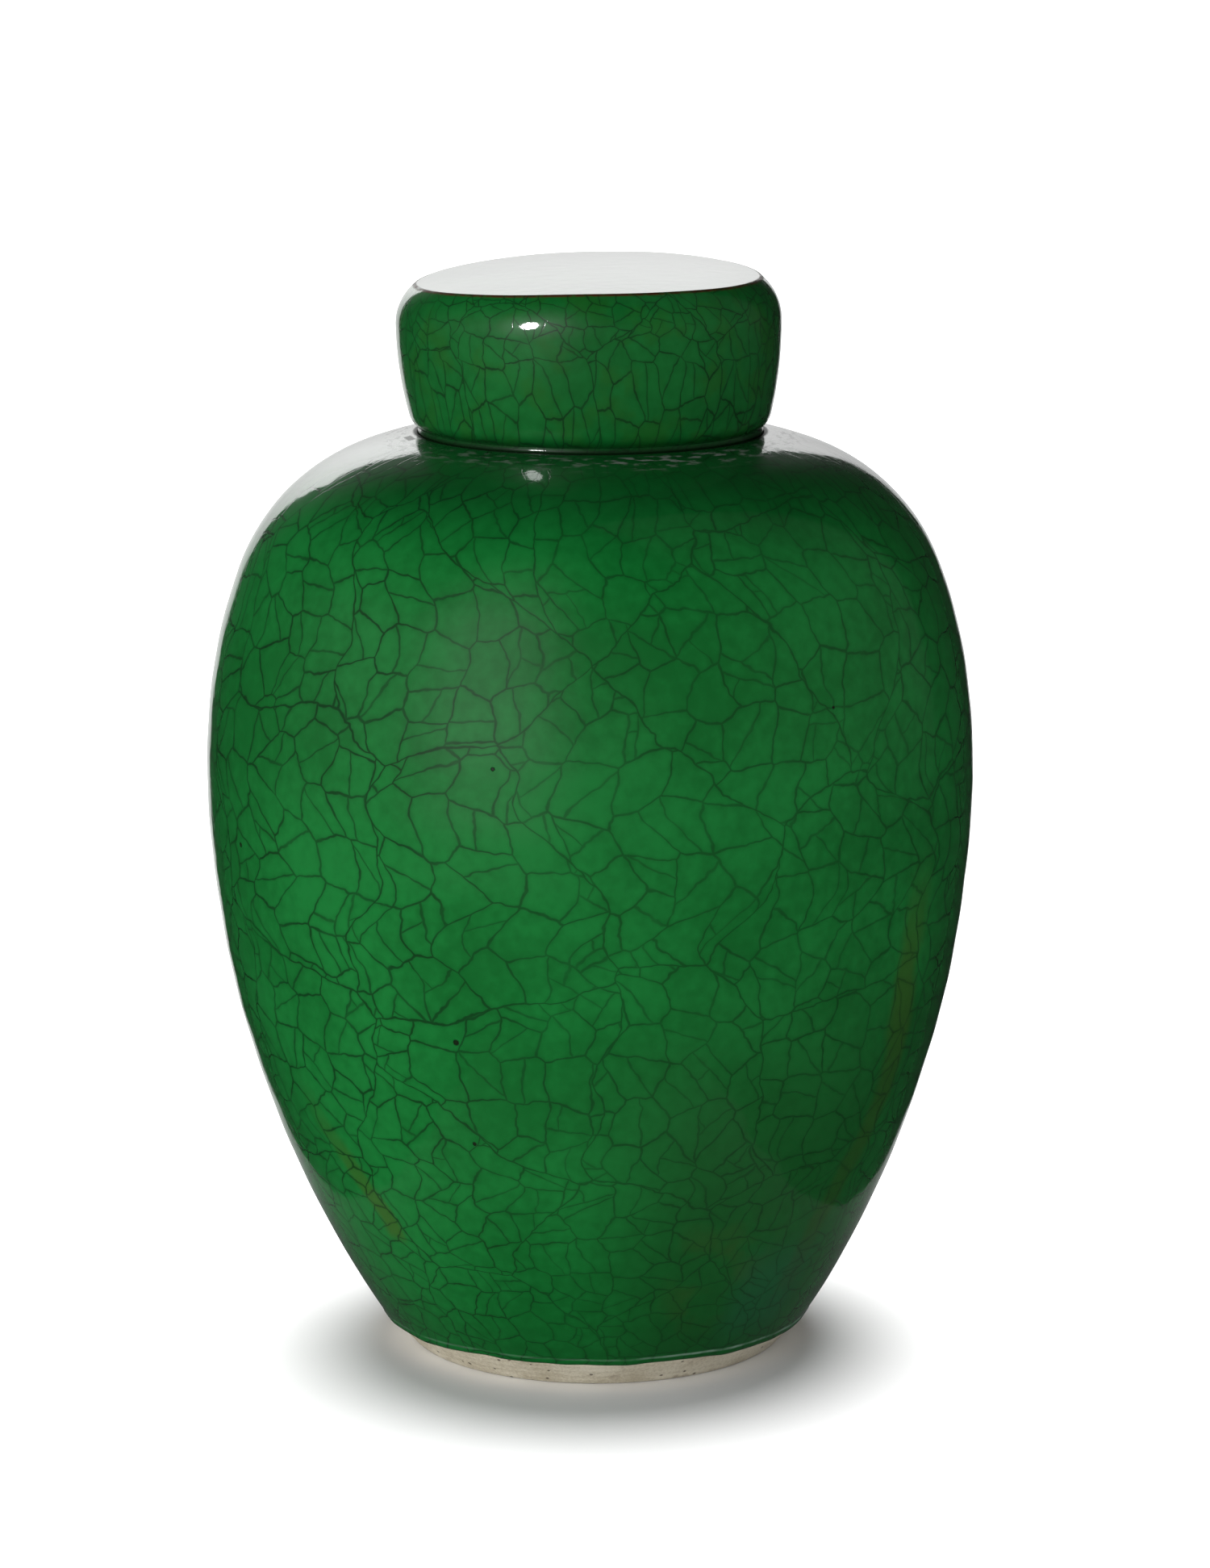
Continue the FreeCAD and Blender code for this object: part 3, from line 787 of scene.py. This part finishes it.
def make_floor():
    """A wide pale table top. The glaze doesn't mirror it: it mirrors the paper sweep instead.

    It throws less light back at the jar than it shows, since the ceiling lamp over-lights it.
    """
    half = 9.0
    floor = flat_mesh("floor", [(-half, -half, 0), (half, -half, 0), (half, half, 0), (-half, half, 0)])
    material, s = new_material("pale_table")
    seen = s.tree.nodes.new("ShaderNodeLightPath").outputs["Is Camera Ray"]
    s.finish(s.node("BsdfDiffuse", {"Color": s.mix(seen, grey(0.33), grey(0.93))}))
    floor.data.materials.append(material)
    floor.visible_glossy = False


def make_paper_sweep():
    """A sheet of white paper that widens away from the jar and curves up behind it; only mirrored."""
    level, bend, back, top = 0.0005, 0.68, 0.90, 0.56
    turn = back - bend
    path = [(-0.2, level), (0, level), (0.2, level), (bend, level)]
    path += [polar((bend, level + turn), turn, angle) for angle in range(-80, 1, 10)]
    path.append((back, top))
    points = []
    for y, z in path:
        away = max(y, 0)
        left = -0.08 - 0.15 * away - 0.29 * away ** 2
        right = 0.08 + 0.05 * away + 0.24 * away ** 2 - 0.25 * z
        points += [(left, y, z), (right, y, z)]
    faces = [(2 * i, 2 * i + 1, 2 * i + 3, 2 * i + 2) for i in range(len(path) - 1)]
    mesh = bpy.data.meshes.new("paper_sweep")
    mesh.from_pydata(points, [], faces)
    sweep = bpy.data.objects.new("paper_sweep", mesh)
    bpy.context.scene.collection.objects.link(sweep)
    material, s = new_material("glowing_white_paper")
    x, y, z = s.parts(s.node("TexCoord", {}, output="Object"))
    reach = s.math("SQRT", s.add(s.times(x, x), s.times(y, y)))
    # The paper glows instead of being lit, brighter upwards: painted light. Its glow is cut near the
    # jar as a painted shadow of the jar, and dimmed in the middle and on the right as painted shade.
    near = s.times(s.ramp(reach, 0.05, 0.16, 0.2, 1), s.ramp(y, -0.2, 0.28))
    middle = s.times(s.ramp(s.math("ABSOLUTE", x), 0.07, 0.2, 0.87, 1), s.ramp(x, 0.06, 0.16, 1, 0.78))
    glow = s.times(near, middle, s.ramp(z, 0.12, 0.60, 0.9, 2.5))
    s.finish(s.node("Emission", {"Color": grey(1.0), "Strength": glow}))
    mesh.materials.append(material)
    sweep.visible_camera = False
    sweep.visible_diffuse = False
    sweep.visible_shadow = False
    sweep.visible_transmission = False


def light_from(azimuth, elevation):
    """The unit direction towards a light that stands at an azimuth from the front."""
    turn, up = math.radians(azimuth), math.radians(elevation)
    return Vector((math.sin(turn) * math.cos(up), -math.cos(turn) * math.cos(up), math.sin(up)))


def make_world():
    """The room. The camera sees it white, and the glaze mirrors a dark room with one dim window.

    Clay and colour are lit by a low soft dome from the left and a weaker one from the right.
    """
    world = bpy.data.worlds.new("studio")
    world.use_nodes = True
    bpy.context.scene.world = world
    s = Shader(world.node_tree)
    direction = s.node("TexCoord", {}, output="Generated")
    x, y, up = s.parts(direction)
    key = s.dot(direction, light_from(-48, 0))
    fill = s.dot(direction, light_from(60, 0))
    dome = s.add(s.ramp(key, 0.1, 1.0, 0.1, 4.2), s.ramp(fill, 0.2, 1.0, 0, 0.7))
    dome = s.times(dome, s.ramp(up, 0.1, 0.7, 1, 0.08))
    azimuth = s.math("DEGREES", s.math("ARCTAN2", x, s.times(y, -1)))
    window = patch(s, azimuth, up, (-31, 4, 34), (0.3, 0.15, 0.7))
    panel = s.times(s.ramp(azimuth, 20, 70), s.ramp(azimuth, 122, 128, 1, 0), s.ramp(up, -0.3, 0.1))
    mirrored = s.add(s.times(window, 0.5), s.times(panel, 0.05), 0.012)
    path = s.tree.nodes.new("ShaderNodeLightPath").outputs
    strength = s.node("Mix", {0: path["Is Glossy Ray"], 2: dome, 3: mirrored}, output=0)
    strength = s.node("Mix", {0: path["Is Camera Ray"], 2: strength, 3: 1.0}, output=0)
    s.finish(s.node("Background", {"Color": grey(1.0), "Strength": strength}), "World")


def make_ceiling_lamp():
    """A soft lamp above and a little behind the jar that whitens the table round its shadow."""
    data = bpy.data.lights.new("ceiling_lamp", "SUN")
    data.energy = 6.8
    data.angle = math.radians(50)
    lamp = bpy.data.objects.new("ceiling_lamp", data)
    bpy.context.scene.collection.objects.link(lamp)
    lamp.rotation_euler = light_from(180, 79).to_track_quat("Z", "Y").to_euler()
    receivers = bpy.data.collections.new("ceiling_receivers")
    receivers.objects.link(bpy.data.objects["floor"])
    lamp.light_linking.receiver_collection = receivers


def make_glint():
    """The small lamp at the front left. It lights the cover alone, and only in its mirror image."""
    data = bpy.data.lights.new("glint_lamp", "AREA")
    data.shape = "ELLIPSE"
    data.size, data.size_y = 0.22, 0.30
    data.energy = 9
    lamp = bpy.data.objects.new("glint_lamp", data)
    bpy.context.scene.collection.objects.link(lamp)
    aim = Vector((0, 0, 0.19))
    lamp.location = aim + light_from(-37, 21) * 1.2
    lamp.rotation_euler = (lamp.location - aim).to_track_quat("Z", "Y").to_euler()
    lamp.visible_diffuse = False
    receivers = bpy.data.collections.new("glint_receivers")
    for name in ("cover_green_coat", "cover_clay"):
        receivers.objects.link(bpy.data.objects[name])
    lamp.light_linking.receiver_collection = receivers


def make_camera():
    data = bpy.data.cameras.new("camera")
    data.sensor_fit = "HORIZONTAL"
    data.sensor_width = 36.0
    data.lens = 153.6
    data.clip_end = 50
    camera = bpy.data.objects.new("camera", data)
    camera.location = (0.00035, -0.9475, 0.3021)
    camera.rotation_euler = (math.radians(90 - 11.70), 0, math.radians(-0.15))
    bpy.context.scene.collection.objects.link(camera)
    bpy.context.scene.camera = camera


make_pieces()
make_floor()
make_paper_sweep()
make_world()
make_ceiling_lamp()
make_glint()
make_camera()
bpy.context.scene.view_settings.view_transform = "Standard"
